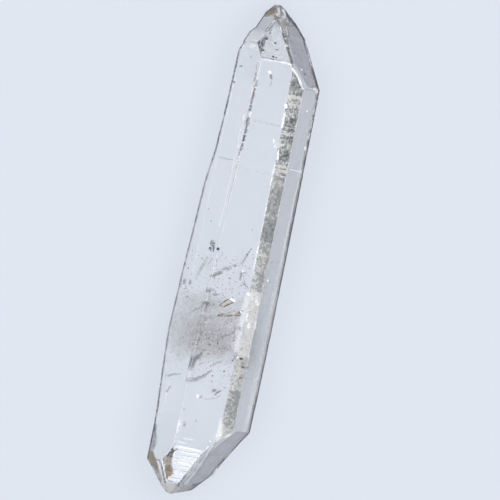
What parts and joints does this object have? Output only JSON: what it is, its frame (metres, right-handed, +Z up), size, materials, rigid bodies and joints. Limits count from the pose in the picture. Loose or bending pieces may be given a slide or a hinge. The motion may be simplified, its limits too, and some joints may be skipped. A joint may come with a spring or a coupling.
{
  "type": "double-terminated quartz crystal",
  "caption": "Slender clear quartz crystal, pointed at both ends, with flat sides, growth ledges and worn tips, lying on one long side.",
  "frame": {"origin": "on the surface the crystal rests on, below the middle of its box", "axes": "+Y along the crystal's long axis towards its more pointed end, +Z up out of the broad prism face that lies on top, +X across"},
  "size_m": [0.006, 0.03, 0.0049],
  "materials": {
    "clear_quartz": "gloss"
  },
  "bodies": {
    "root": {"quartz_crystal": "clear_quartz"}
  },
  "joints": []
}
